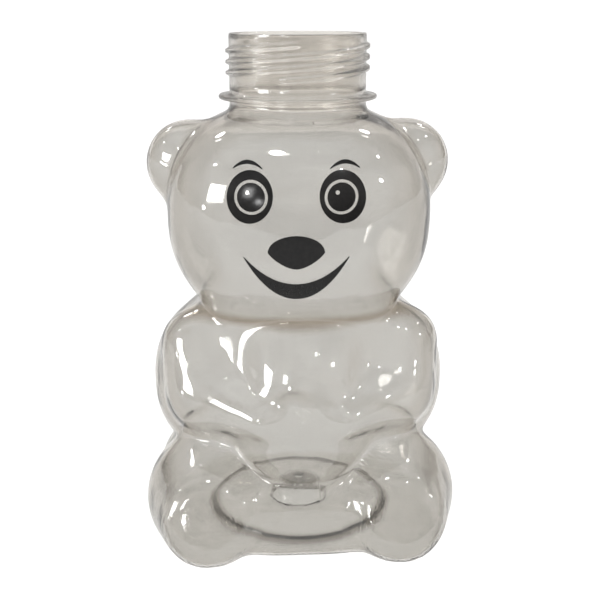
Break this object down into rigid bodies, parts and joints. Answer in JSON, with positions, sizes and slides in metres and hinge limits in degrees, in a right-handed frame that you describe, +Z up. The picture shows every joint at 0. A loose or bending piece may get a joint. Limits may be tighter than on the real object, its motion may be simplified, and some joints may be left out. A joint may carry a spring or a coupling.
{
  "type": "bear-shaped drinking bottle",
  "caption": "Clear blown plastic bottle shaped like a sitting bear, with a threaded neck, a support ring, a pushed-up base and a printed face.",
  "frame": {"origin": "on the ground, under the middle of the bottle's overall width and depth; the neck's axis is at X = 0, Y = +1.1 mm", "axes": "+Z up along the neck's axis, out of the mouth; the bear faces -Y; +X is the viewer's right as they face the bear"},
  "size_m": [0.102, 0.0904, 0.16],
  "materials": {
    "clear_pet": "clear, glossy, stretch-blown PET",
    "black_ink": "satin black printing ink"
  },
  "bodies": {
    "root": {"bottle": "clear_pet", "left_eye_patch_print": "black_ink", "right_eye_patch_print": "black_ink", "left_pupil_print": "black_ink", "right_pupil_print": "black_ink", "left_brow_print": "black_ink", "right_brow_print": "black_ink", "nose_print": "black_ink", "mouth_print": "black_ink"}
  },
  "joints": []
}
